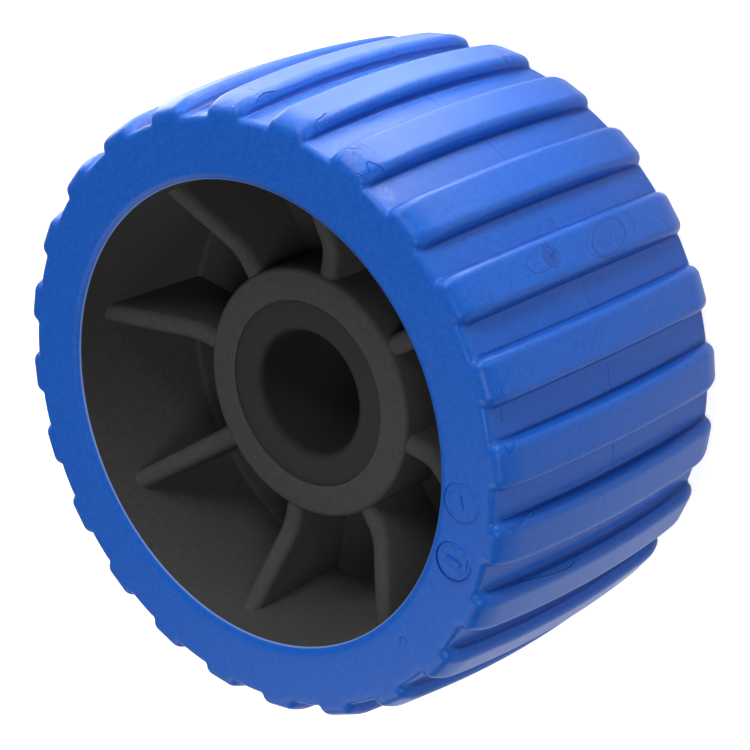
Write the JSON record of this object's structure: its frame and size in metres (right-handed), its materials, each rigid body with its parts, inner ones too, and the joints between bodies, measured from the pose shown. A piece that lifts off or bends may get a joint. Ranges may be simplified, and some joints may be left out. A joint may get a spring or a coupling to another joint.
{
  "type": "boat trailer roller",
  "caption": "Crowned, ribbed roller for a boat trailer: soft tread moulded round the rim of a stiff webbed hub with a plain bore for a spindle.",
  "frame": {"origin": "middle of the bore, half way between the two end faces", "axes": "+Z along the bore, out of one end face; +X through the middle of one rib; +Y completes a right-handed frame"},
  "size_m": [0.13, 0.13, 0.0706],
  "materials": {
    "tyre": "blue soft polymer, fine matt moulded skin",
    "hub": "black stiff polymer, satin moulded skin"
  },
  "bodies": {
    "root": {"tyre": "tyre", "hub": "hub"}
  },
  "joints": []
}
